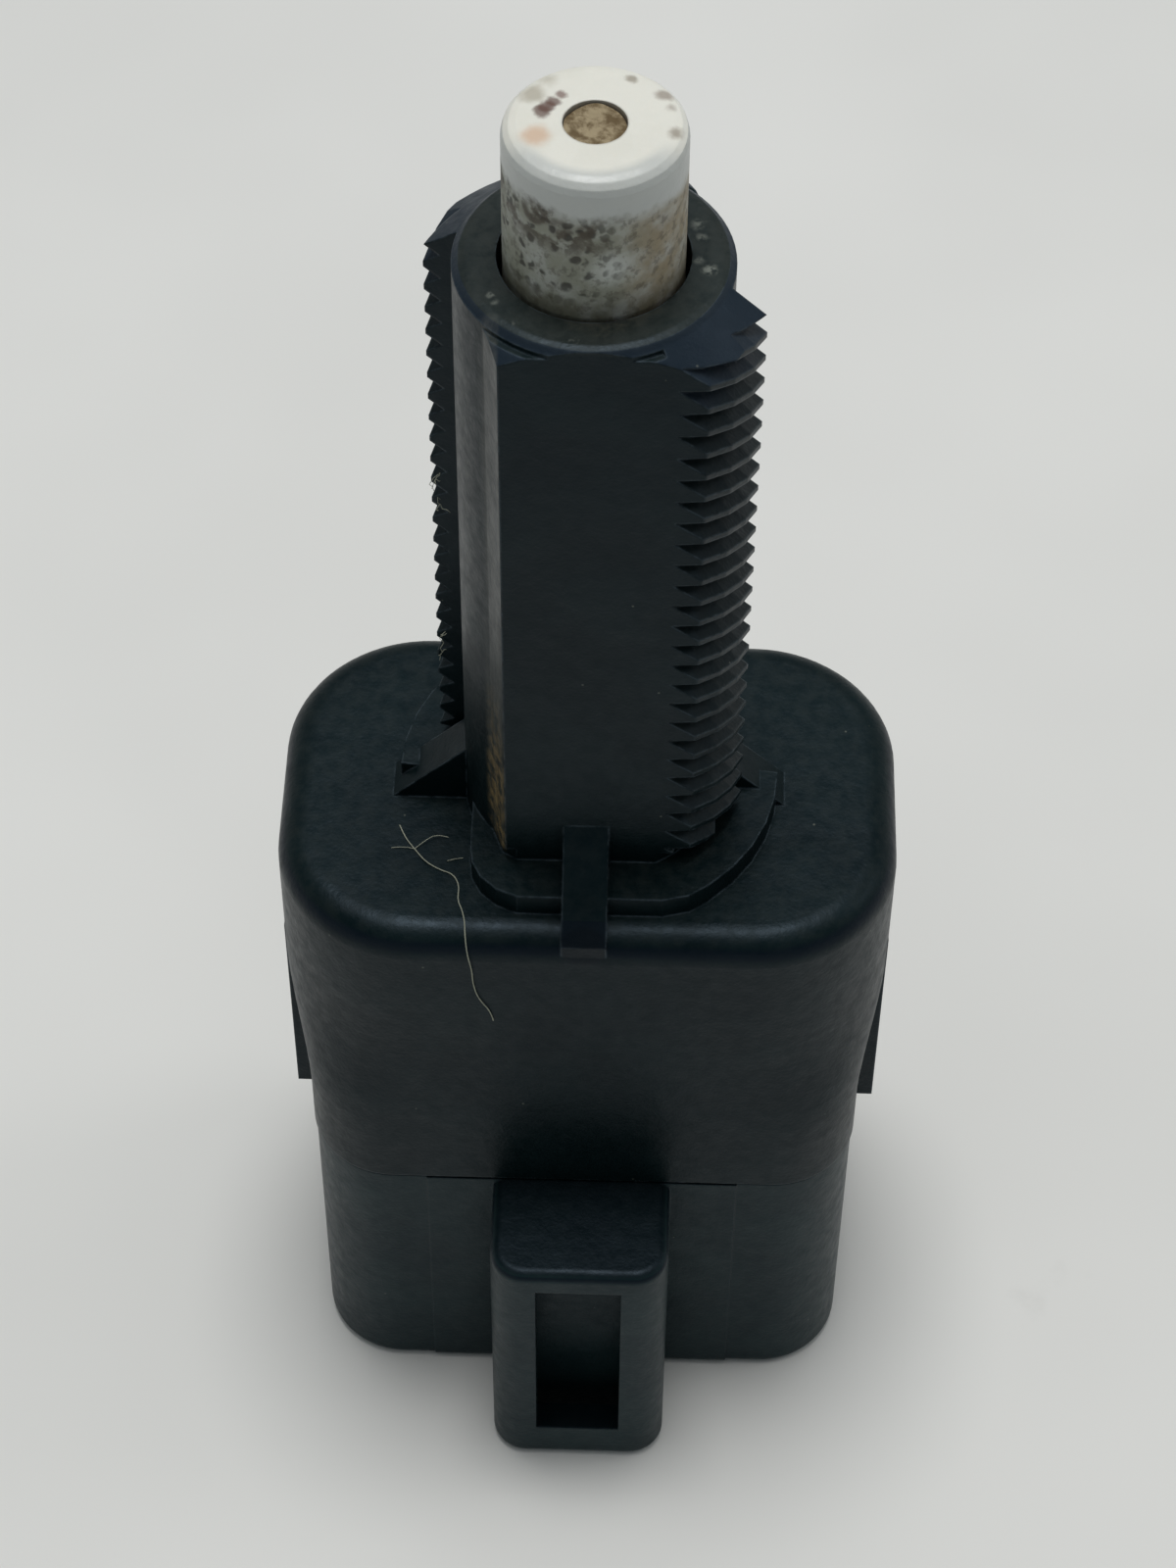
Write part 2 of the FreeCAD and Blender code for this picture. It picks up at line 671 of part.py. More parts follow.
def make_contact_carrier():
    """Hub that seats the plunger, with an arm each way for a contact bridge."""
    body = new_body("contact_carrier")
    hub = new_sketch(body, "XY_Plane", HUB_UNDER)
    draw_circle(hub, "0", "0", "hub_radius")
    pad(body, hub, "hub_height")
    arms = new_sketch(body, "XZ_Plane")
    arm_low = BRIDGE_HEIGHT + " - arm_half_height"
    arm_high = BRIDGE_HEIGHT + " + arm_half_height"
    lip_reach = "(%s + lip_margin)" % BRIDGE_FACE
    draw_rectangle(arms, "-" + lip_reach, lip_reach, arm_low, arm_high)
    pad(body, arms, "2 * arm_half_depth", both_ways=True)
    for side in ("", "-"):
        gap = new_sketch(body, "XZ_Plane")
        back = "%s(%s - fit_clearance)" % (side, BRIDGE_BACK)
        draw_rectangle(gap, back, "%s(%s + 1)" % (side, lip_reach), arm_low + " + arm_lip",
                       arm_high + " - arm_lip")
        pocket(body, gap, "2 * arm_half_depth + 1", both_ways=True)
        well = new_sketch(body, "YZ_Plane", back)
        draw_circle(well, "0", BRIDGE_HEIGHT,
                    "bridge_coil_radius + bridge_wire + fit_clearance")
        pocket(body, well, "bridge_spring_length - fit_clearance", reverse=(side == "-"))
    seat = new_sketch(body, "XY_Plane", CHAMBER_ROOF)
    draw_circle(seat, "0", "0", "plunger_radius + fit_clearance")
    pocket(body, seat, "seat_depth")
    hole = new_sketch(body, "XY_Plane", SEAT_TOP)
    draw_circle(hole, "0", "0", "spigot_radius + fit_clearance")
    pocket(body, hole, "seat_floor + 1")
    well = new_sketch(body, "XY_Plane", HUB_UNDER)
    draw_circle(well, "0", "0", SPRING_BORE)
    pocket(body, well, "%s - %s" % (SEAT_UNDER, HUB_UNDER), reverse=True)
    return body


def make_contact_bridge(label, side):
    """Plate that joins a front and a back contact, with a hole for each rivet."""
    body = new_body(label)
    plate = new_sketch(body, "YZ_Plane", "%d * %s" % (side, BRIDGE_BACK))
    draw_rectangle(plate, "-bridge_half_length", "bridge_half_length",
                   BRIDGE_HEIGHT + " - bridge_half_height",
                   BRIDGE_HEIGHT + " + bridge_half_height")
    pad(body, plate, "bridge_plate", reverse=(side < 0))
    holes = new_sketch(body, "YZ_Plane", "%d * %s" % (side, BRIDGE_FACE))
    for row in ("", "-"):
        draw_circle(holes, row + "contact_spacing", BRIDGE_HEIGHT, RIVET_HOLE)
    pocket(body, holes, "bridge_plate + 1", reverse=(side < 0))
    return body


def make_rivet(label, side, row, face, head_radius, head_length, shank_length, height, outward):
    """Contact rivet along X: a flat head at its contact face, a shank and an upset tail."""
    toward = side * outward
    tail_length = "0.5 * rivet_radius"
    stations = [
        ("0", head_length, head_radius),
        (head_length, shank_length, "rivet_radius"),
        ("%s + %s" % (head_length, shank_length), tail_length, "1.3 * rivet_radius"),
    ]
    discs = []
    for start, length, radius in stations:
        disc = document.addObject("Part::Cylinder", label + "_disc")
        disc.setExpression("Radius", named(radius))
        disc.setExpression("Height", named(length))
        disc.Placement.Rotation = FreeCAD.Rotation(FreeCAD.Vector(0, 1, 0), -90 * toward)
        place = "%d * (%s) - %d * (%s)" % (side, face, toward, start)
        disc.setExpression("Placement.Base.x", named(place))
        disc.setExpression("Placement.Base.y", named("%d * contact_spacing" % row))
        disc.setExpression("Placement.Base.z", named(height))
        discs.append(disc)
    rivet = document.addObject("Part::MultiFuse", label)
    rivet.Shapes = discs
    rivet.Label = label
    return rivet


def make_terminal(label, side, row, riser_top):
    """Bent strip: blade in the socket, foot on the web, riser beside the moving bridge."""
    body = new_body(label)
    sign = "" if side > 0 else "-"
    inner = "(blade_spacing - 0.5 * blade_thickness)"
    outer = "(blade_spacing + 0.5 * blade_thickness)"
    foot_top = WEB_TOP + " + blade_thickness"
    offset = "%d * contact_spacing" % -row
    strip = new_sketch(body, "XZ_Plane", offset)
    draw_polygon(strip, [
        ("%s(%s + blade_taper)" % (sign, inner), "blade_tip"),
        ("%s(%s - blade_taper)" % (sign, outer), "blade_tip"),
        ("%s%s" % (sign, outer), "blade_tip + 4 * blade_taper"),
        ("%s%s" % (sign, outer), WEB_TOP),
        ("%s%s" % (sign, RISER_BACK), WEB_TOP),
        ("%s%s" % (sign, RISER_BACK), riser_top),
        ("%s%s" % (sign, RISER_FACE), riser_top),
        ("%s%s" % (sign, RISER_FACE), foot_top),
        ("%s%s" % (sign, inner), foot_top),
        ("%s%s" % (sign, inner), "blade_tip + 4 * blade_taper"),
    ])
    strip_pad = pad(body, strip, "blade_width", both_ways=True)
    knees = [(size(RISER_BACK), size(WEB_TOP)), (size(inner), size(foot_top))]

    def outer_bend(edge):
        box = edge.BoundBox
        return box.YLength > 1 and any(
            near(side * box.Center.x, x) and near(box.Center.z, z) for x, z in knees)
    round_edges(body, strip_pad, outer_bend, "0.6 * terminal_bend_radius")
    hole = new_sketch(body, "YZ_Plane", "%s%s" % (sign, RISER_BACK))
    draw_circle(hole, "%d * contact_spacing" % row, "%s - pad_radius - 0.3" % riser_top,
                RIVET_HOLE)
    pocket(body, hole, "blade_thickness + 0.1", reverse=(side < 0))
    return body


def make_spring(label, coil_radius, wire, turns, length, place):
    """Coil of eight-sided wire along its own Z, its end turns nearly closed."""
    coil_radius, wire, turns, length = [size(x) for x in (coil_radius, wire, turns, length)]
    end_rise = SPRING_END_RISE * wire
    open_rise = (length - wire - 2 * end_rise) / (turns - 2)
    wires = []
    for station in range(round(turns * SPRING_STATIONS) + 1):
        turn = station / SPRING_STATIONS
        rise = end_rise * min(turn, 1) + end_rise * max(turn - turns + 1, 0)
        rise += open_rise * min(max(turn - 1, 0), turns - 2)
        angle = 2 * math.pi * turn
        outward = FreeCAD.Vector(math.cos(angle), math.sin(angle), 0)
        upward = FreeCAD.Vector(0, 0, 1)
        middle = outward * coil_radius + upward * (rise + wire / 2)
        corners = []
        for corner in range(9):
            around = math.radians(45 * corner)
            spoke = outward * math.cos(around) + upward * math.sin(around)
            corners.append(middle + spoke * (wire / 2))
        wires.append(Part.makePolygon(corners))
    spring = document.addObject("Part::Feature", label)
    spring.Label = label
    spring.Shape = Part.makeLoft(wires, True, True)
    spring.Placement = place
    return spring


def check_and_write(nodes):
    """Stop on any failed object or unsound shape, then write one file for each sub-part."""
    document.recompute()
    for thing in document.Objects:
        if "Invalid" in thing.State or "Error" in thing.State:
            raise RuntimeError("%s failed: %s" % (thing.Label, thing.State))
    for node in nodes:
        if node.Shape.isNull() or not node.Shape.isValid() or not node.Shape.Solids:
            raise RuntimeError(node.Label + " has no sound solid")
    os.makedirs("parts", exist_ok=True)
    for node in nodes:
        node.Shape.exportStep("parts/%s.step" % node.Label)
        print("%-24s %d solid, %.1f cubic mm" % (
            node.Label, len(node.Shape.Solids), node.Shape.Volume))


def main():
    upright = FreeCAD.Placement(FreeCAD.Vector(0, 0, size(WEB_TOP)), FreeCAD.Rotation())
    nodes = [
        make_upper_housing(),
        make_connector_base(),
        make_plunger(),
        make_contact_carrier(),
        make_spring("return_spring", "return_radius", "return_wire", "return_turns",
                    "%s - %s" % (SEAT_UNDER, WEB_TOP), upright),
    ]
    pressed_height = "(%s - plunger_travel)" % BRIDGE_HEIGHT
    for circuit, side, contact_height in [
        ("lamp", -1, BRIDGE_HEIGHT),
        ("cruise", 1, pressed_height),
    ]:
        nodes.append(make_contact_bridge(circuit + "_bridge", side))
        behind_bridge = size(BRIDGE_BACK) - size("bridge_spring_length")
        lying = FreeCAD.Placement(
            FreeCAD.Vector(side * behind_bridge, 0, size(BRIDGE_HEIGHT)),
            FreeCAD.Rotation(FreeCAD.Vector(0, 1, 0), 90 * side))
        nodes.append(make_spring(circuit + "_bridge_spring", "bridge_coil_radius",
                                 "bridge_wire", "bridge_turns", "bridge_spring_length", lying))
        for row_name, row in [("front", -1), ("back", 1)]:
            nodes.append(make_rivet("%s_button_%s" % (circuit, row_name), side, row,
                                    BUTTON_FACE, "button_radius", "button_thickness",
                                    "bridge_plate", BRIDGE_HEIGHT, 1))
            nodes.append(make_terminal("%s_terminal_%s" % (circuit, row_name), side, row,
                                       "(%s + pad_radius + 0.3)" % contact_height))
            nodes.append(make_rivet("%s_contact_%s" % (circuit, row_name), side, row,
                                    PAD_FACE, "pad_radius", "pad_thickness",
                                    "blade_thickness", contact_height, -1))
    check_and_write(nodes)


main()
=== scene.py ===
import math
import random

import bmesh
import bpy
from mathutils import Matrix, Vector, noise


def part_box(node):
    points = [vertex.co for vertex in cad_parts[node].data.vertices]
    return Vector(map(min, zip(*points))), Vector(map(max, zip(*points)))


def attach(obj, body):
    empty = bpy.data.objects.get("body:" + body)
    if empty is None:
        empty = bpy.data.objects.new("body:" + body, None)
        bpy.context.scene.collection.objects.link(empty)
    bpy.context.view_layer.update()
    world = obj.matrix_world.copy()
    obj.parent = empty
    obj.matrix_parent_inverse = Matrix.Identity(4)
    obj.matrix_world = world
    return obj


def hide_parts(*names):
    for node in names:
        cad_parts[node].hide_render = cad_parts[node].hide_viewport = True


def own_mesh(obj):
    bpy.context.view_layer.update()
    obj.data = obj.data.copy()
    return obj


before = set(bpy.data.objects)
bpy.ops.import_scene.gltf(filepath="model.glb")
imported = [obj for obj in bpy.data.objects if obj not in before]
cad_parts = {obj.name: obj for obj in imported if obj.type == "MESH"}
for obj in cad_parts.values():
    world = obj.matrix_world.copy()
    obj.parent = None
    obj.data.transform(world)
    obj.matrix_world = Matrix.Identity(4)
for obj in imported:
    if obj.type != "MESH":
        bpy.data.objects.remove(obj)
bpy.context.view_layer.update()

MM = 0.001
random.seed(7)

# Camera, in millimetres of the model frame: it looks down at the switch from in front
CAMERA_AIM = Vector((-0.045, 0.0, 30.09))
CAMERA_DISTANCE = 147.66
CAMERA_ELEVATION = math.radians(50.95)
CAMERA_ROLL = math.radians(0.507)
CAMERA_TURN = math.radians(1.2)
CAMERA_LENS = 87.57

# Places that the finish refers to, in millimetres
PLUNGER_TIP = 63.6
BARREL_TOP = 57.9
BARREL_FOOT = 31.1
COVER_TOP = 30.1

# Springs and the grit in the tip's hole, in millimetres
RETURN_COIL_RADIUS = 2.4
RETURN_WIRE = 0.5
RETURN_TURNS = 8
BRIDGE_COIL_RADIUS = 1.0
BRIDGE_WIRE = 0.3
BRIDGE_TURNS = 4
BRIDGE_SPRING_LENGTH = 2.3
GRIT_RADIUS = 1.02
GRIT_LEVEL = PLUNGER_TIP - 0.26
GRIT_CORNERS = 40

# Flakes of dust on the barrel's rim: centre, radius, softness, strength
RIM_FLAKES = (
    ((-3.32, -2.10, BARREL_TOP), 0.28, 0.20, 0.22),
    ((-3.20, -2.40, BARREL_TOP), 0.27, 0.20, 0.22),
    ((-2.50, -3.36, BARREL_TOP), 0.26, 0.14, 0.30),
    ((-0.56, -4.15, BARREL_TOP), 0.27, 0.20, 0.22),
    ((3.44, 1.59, BARREL_TOP), 0.30, 0.35, 0.24),
    ((3.60, 0.90, BARREL_TOP), 0.24, 0.30, 0.20),
    ((3.85, -0.66, BARREL_TOP), 0.30, 0.30, 0.36),
    ((3.45, -0.15, BARREL_TOP), 0.24, 0.30, 0.22),
)

# Wiped and stained patches on the plunger's side: centre, radius, softness, tint, strength
SIDE_PATCHES = (
    ((0.66, -2.98, 60.0), 0.35, 1.1, "#c9cdc8", 0.75),
    ((-1.95, -2.35, 61.9), 0.12, 0.35, "#d6d2bf", 0.80),
    ((1.55, -2.60, 59.6), 0.10, 0.40, "#b9ae97", 0.60),
    ((2.45, -1.80, 60.6), 0.10, 0.60, "#b3a78c", 0.60),
)

# Dark loops of grease on the plunger's side: centre, radius, softness, strength
SIDE_LOOPS = (
    ((-1.90, -2.40, 61.95), 0.62, 0.20, 0.80),
    ((-1.05, -2.86, 61.65), 0.45, 0.25, 0.60),
    ((-0.20, -3.04, 61.70), 0.38, 0.22, 0.70),
)
LOOP_THICKNESS = 0.28

# Scuffs and stains on the plunger's tip: centre, radius, softness, tint, strength
TIP_MARKS = (
    ((-1.72, 0.45, PLUNGER_TIP), 0.42, 0.24, "#5d3f35", 0.80),
    ((-1.55, 0.70, PLUNGER_TIP), 0.42, 0.22, "#5d3f35", 0.80),
    ((-1.36, 0.95, PLUNGER_TIP), 0.40, 0.22, "#5d3f35", 0.80),
    ((-1.12, 1.25, PLUNGER_TIP), 0.36, 0.20, "#6b4a42", 0.75),
    ((-2.05, 1.30, PLUNGER_TIP), 0.42, 0.45, "#8b7f66", 0.55),
    ((-1.60, 2.00, PLUNGER_TIP), 0.32, 0.40, "#9a917a", 0.45),
    ((1.13, 2.10, PLUNGER_TIP), 0.30, 0.22, "#6f5f47", 0.60),
    ((2.20, 1.35, PLUNGER_TIP), 0.36, 0.30, "#7d6b5c", 0.65),
    ((2.42, 0.80, PLUNGER_TIP), 0.32, 0.25, "#7d6b5c", 0.50),
    ((2.60, -0.45, PLUNGER_TIP), 0.36, 0.30, "#7a6b58", 0.65),
    ((-1.85, -0.70, PLUNGER_TIP), 0.40, 0.55, "#c79a72", 0.60),
)


def linear(hex_colour):
    """Linear colour for a shader from an sRGB hex value."""
    channels = [int(hex_colour[i:i + 2], 16) / 255 for i in (1, 3, 5)]
    return [c / 12.92 if c <= 0.04045 else ((c + 0.055) / 1.055) ** 2.4 for c in channels] + [1]


def add(tree, kind, inputs=None, **settings):
    """Add a node, set what it is given, and link the inputs that are sockets."""
    made = tree.nodes.new(kind)
    for name, value in settings.items():
        setattr(made, name, value)
    for socket, value in (inputs or {}).items():
        if isinstance(value, bpy.types.NodeSocket):
            tree.links.new(value, made.inputs[socket])
        else:
            made.inputs[socket].default_value = value
    return made.outputs[0]


def new_material(name):
    material = bpy.data.materials.new(name)
    material.use_nodes = True
    return material, material.node_tree, material.node_tree.nodes["Principled BSDF"]


def millimetres(tree):
    """Place on the piece, in millimetres of the model frame."""
    coordinates = tree.nodes.new("ShaderNodeTexCoord").outputs["Object"]
    return add(tree, "ShaderNodeVectorMath", {0: coordinates, 3: 1000.0}, operation="SCALE")


def noise_at(tree, place, scale, detail=3.0, roughness=0.55):
    """Noise whose cells are about 1/scale millimetres across."""
    return add(tree, "ShaderNodeTexNoise", {"Vector": place, "Scale": scale, "Detail": detail,
                                            "Roughness": roughness})


def ramp(tree, value, start, end, low=0.0, high=1.0):
    return add(tree, "ShaderNodeMapRange", {0: value, 1: start, 2: end, 3: low, 4: high},
               interpolation_type="SMOOTHSTEP")


def maths(tree, operation, first, second=0.0):
    return add(tree, "ShaderNodeMath", {0: first, 1: second}, operation=operation)


def mixed(tree, share, first, second):
    """Colour that goes from first to second as share goes from 0 to 1."""
    made = tree.nodes.new("ShaderNodeMix")
    made.data_type = "RGBA"
    made.inputs[0].default_value = 0.0
    for socket, value in ((made.inputs[0], share), (made.inputs[6], first),
                          (made.inputs[7], second)):
        if isinstance(value, bpy.types.NodeSocket):
            tree.links.new(value, socket)
        else:
            socket.default_value = value
    return made.outputs[2]


def product(tree, first, *others):
    for other in others:
        first = maths(tree, "MULTIPLY", first, other)
    return first


def tinted(tree, colour, share, strength, tint):
    """Colour with a tint laid over it, as strong as share times strength."""
    return mixed(tree, product(tree, share, strength), colour, linear(tint))


def axis_of(tree, vector, axis):
    split = tree.nodes.new("ShaderNodeSeparateXYZ")
    tree.links.new(vector, split.inputs[0])
    return split.outputs[axis]


def spot(tree, place, centre, radius, softness, ragged=0.0):
    """Share of a round mark about a point, a stain or a painted shade: 1 inside, 0 outside, with a
    noisy edge.
    """
    distance = tree.nodes.new("ShaderNodeVectorMath")
    distance.operation = "DISTANCE"
    tree.links.new(place, distance.inputs[0])
    distance.inputs[1].default_value = centre
    edge = distance.outputs["Value"]
    if ragged:
        edge = maths(tree, "ADD", edge,
                     product(tree, noise_at(tree, place, 1.6, 5.0), ragged))
    return ramp(tree, edge, radius, radius + softness, 1.0, 0.0)


def softened_normal(tree):
    """Normal that rounds sharp edges over about a tenth of a millimetre."""
    return add(tree, "ShaderNodeBevel", {"Radius": 0.12 * MM}, samples=4)


def edge_share(tree, normal):
    """Share that is 1 on sharp edges and 0 on the faces between them."""
    meeting = tree.nodes.new("ShaderNodeVectorMath")
    meeting.operation = "DOT_PRODUCT"
    tree.links.new(normal, meeting.inputs[0])
    tree.links.new(tree.nodes.new("ShaderNodeNewGeometry").outputs["Normal"], meeting.inputs[1])
    return ramp(tree, meeting.outputs["Value"], 0.86, 0.99, 1.0, 0.0)


def surface_bump(tree, shader, normal, heights):
    """Chain of bumps on a normal, each given as a height and its depth in metres."""
    for height, depth in heights:
        normal = add(tree, "ShaderNodeBump", {"Height": height, "Distance": depth,
                                              "Strength": 1.0, "Normal": normal})
    tree.links.new(normal, shader.inputs["Normal"])


def streaks_along(tree, place, scale):
    """Noise drawn out along the barrel."""
    stretched = add(tree, "ShaderNodeMapping", {0: place, 3: (3.0, 3.0, 0.16)})
    return noise_at(tree, stretched, scale, 5.0, 0.6)


def housing_dust_and_painted_light(tree, place, upward, fine, colour):
    """Dust and rubbed places of the barrel and its rim, with a painted sheen on its lead cone and
    painted shade on the front rib's end.
    """
    across = axis_of(tree, place, 0)
    height = axis_of(tree, place, 2)
    rim = product(tree, ramp(tree, height, BARREL_TOP - 0.30, BARREL_TOP - 0.02),
                  ramp(tree, fine, 0.15, 0.6, 0.55, 1.0))
    colour = tinted(tree, colour, rim, 0.10, "#77776c")
    for centre, radius, softness, strength in RIM_FLAKES:
        flake = product(tree, spot(tree, place, centre, radius, softness, 0.5),
                        ramp(tree, noise_at(tree, place, 4.0, 4.0), 0.38, 0.58))
        colour = tinted(tree, colour, flake, strength, "#a9ada2")
    spill = product(tree, spot(tree, place, (0.3, -1.7, BARREL_TOP), 1.6, 1.2, 1.1),
                    ramp(tree, fine, 0.35, 0.65))
    colour = tinted(tree, colour, spill, 0.40, "#6b6553")
    # Painted sheen: the upward-slanting lead cone below the rim gets a lighter bluish tone, standing
    # in for its reflection.
    cone = product(tree, ramp(tree, upward, 0.55, 0.72), ramp(tree, upward, 0.86, 0.95, 1.0, 0.0),
                   ramp(tree, height, 54.6, 55.6))
    colour = tinted(tree, colour, cone, 0.7, "#1f2833")
    # Painted shade: the small face at the front rib's end, in front of the cover wall, is darkened.
    painted_rib_end_shade = spot(tree, place, (0.0, -7.9, COVER_TOP - 0.3), 0.8, 0.3)
    colour = tinted(tree, colour, painted_rib_end_shade, 0.8, "#01050a")
    front = ramp(tree, axis_of(tree, place, 1), -3.2, -2.8, 1.0, 0.0)
    strip = product(tree, ramp(tree, across, -3.15, -2.95, 1.0, 0.0), front,
                    ramp(tree, height, BARREL_FOOT, BARREL_FOOT + 0.6))
    rubbed = ramp(tree, streaks_along(tree, place, 0.9), 0.3, 0.72, 0.25, 1.0)
    colour = tinted(tree, colour, product(tree, strip, rubbed), 0.28, "#73726a")
    foot = product(tree, strip, ramp(tree, height, 33.0, 41.0, 1.0, 0.0),
                   ramp(tree, fine, 0.4, 0.62))
    return tinted(tree, colour, foot, 0.75, "#86714a")


def black_nylon(name, with_barrel, dark, light):
    """Black glass-filled nylon: satin, finely textured, with settled dust, handling wear and painted
    light: shade on slanted faces, shade on the base's upward faces, highlights on edges.
    """
    material, tree, shader = new_material(name)
    place = millimetres(tree)
    upward = axis_of(tree, tree.nodes.new("ShaderNodeNewGeometry").outputs["Normal"], 2)
    cloud = noise_at(tree, place, 0.28, 4.0)
    fine = noise_at(tree, place, 1.7, 5.0, 0.65)
    colour = mixed(tree, ramp(tree, cloud, 0.35, 0.7), linear(dark), linear(light))
    settled = product(tree, ramp(tree, upward, 0.35, 1.0), ramp(tree, fine, 0.3, 0.75))
    colour = tinted(tree, colour, settled, 0.03, "#7a7765")
    # Painted shade: faces that slant between the walls and the tops, such as the fillets, are
    # darkened to a dark navy.
    sloping_painted_shade = product(tree, ramp(tree, upward, 0.20, 0.40),
                      ramp(tree, upward, 0.56, 0.74, 1.0, 0.0))
    colour = tinted(tree, colour, sloping_painted_shade, 0.8, "#010812")
    if with_barrel:
        colour = housing_dust_and_painted_light(tree, place, upward, fine, colour)
    else:
        # Painted shade: the base's upward faces, such as the loop's top under the cover, are
        # darkened as if in the cover's shadow.
        colour = tinted(tree, colour, ramp(tree, upward, 0.6, 0.95), 0.8, "#02090e")
    rounded = softened_normal(tree)
    # Pale rounded edges: partly handling wear, partly a painted highlight along the edges.
    worn = product(tree, edge_share(tree, rounded), ramp(tree, fine, 0.35, 0.6))
    colour = tinted(tree, colour, worn, 0.7 if with_barrel else 0.15, "#525e66")
    specks = add(tree, "ShaderNodeTexVoronoi", {"Vector": place, "Scale": 0.62,
                                                "Randomness": 1.0})
    ragged = maths(tree, "ADD", specks, product(tree, fine, 0.06))
    colour = tinted(tree, colour, ramp(tree, ragged, 0.045, 0.070, 1.0, 0.0), 0.30, "#8f9184")
    tree.links.new(colour, shader.inputs["Base Color"])
    tree.links.new(ramp(tree, fine, 0.25, 0.8, 0.34, 0.50), shader.inputs["Roughness"])
    shader.inputs["Specular IOR Level"].default_value = 0.2
    shader.inputs["Specular Tint"].default_value = linear("#d2eaff")
    surface_bump(tree, shader, rounded, [(cloud, 0.10 * MM),
                                         (noise_at(tree, place, 7.0, 2.0), 0.010 * MM)])
    return material


def plunger_grime(tree, place, fine, coarse, grime, colour):
    """Film, patches, loops, blots and smears of grime where the plunger slides in the barrel."""
    across = axis_of(tree, place, 0)
    height = axis_of(tree, place, 2)
    film_colour = mixed(tree, ramp(tree, across, 0.4, 2.2), linear("#888a7c"), linear("#93876e"))
    film = product(tree, grime, ramp(tree, coarse, 0.32, 0.62, 0.45, 1.0))
    colour = mixed(tree, film, colour, film_colour)
    for centre, radius, softness, tint, strength in SIDE_PATCHES:
        patch = spot(tree, place, centre, radius, softness, 0.7)
        colour = tinted(tree, colour, patch, strength, tint)
    for centre, radius, softness, strength in SIDE_LOOPS:
        around = maths(tree, "SUBTRACT", spot(tree, place, centre, radius, softness, 0.35),
                       spot(tree, place, centre, radius - LOOP_THICKNESS, softness, 0.35))
        colour = tinted(tree, colour, product(tree, around, grime), strength, "#3a2c1d")
    jitter = add(tree, "ShaderNodeTexNoise", {"Vector": place, "Scale": 1.4, "Detail": 2.0})
    shaken = tree.nodes.new("ShaderNodeVectorMath")
    shaken.operation = "ADD"
    tree.links.new(place, shaken.inputs[0])
    tree.links.new(jitter, shaken.inputs[1])
    cells = add(tree, "ShaderNodeTexVoronoi", {"Vector": shaken.outputs[0], "Scale": 1.85,
                                               "Randomness": 0.75})
    blots = ramp(tree, maths(tree, "ADD", cells, product(tree, fine, 0.16)), 0.30, 0.52, 1.0, 0.0)
    leftward = ramp(tree, across, -0.4, 1.6, 1.0, 0.12)
    middle_height = ramp(tree, height, PLUNGER_TIP - 5.5, PLUNGER_TIP - 4.2, 0.35, 1.0)
    blots = product(tree, blots, leftward, grime, middle_height)
    colour = tinted(tree, colour, blots, 0.85, "#26231c")
    belt = product(tree, ramp(tree, height, 60.3, 61.2),
                   ramp(tree, noise_at(tree, place, 1.3, 4.0), 0.44, 0.56), leftward, grime)
    colour = tinted(tree, colour, belt, 0.75, "#453b2c")
    smears = product(tree, ramp(tree, fine, 0.50, 0.62), grime)
    colour = tinted(tree, colour, smears, 0.45, "#3b3427")
    foot = product(tree, ramp(tree, height, BARREL_TOP + 0.2, BARREL_TOP + 1.0, 1.0, 0.0),
                   ramp(tree, coarse, 0.3, 0.6, 0.4, 1.0))
    return tinted(tree, colour, foot, 0.6, "#55503f")


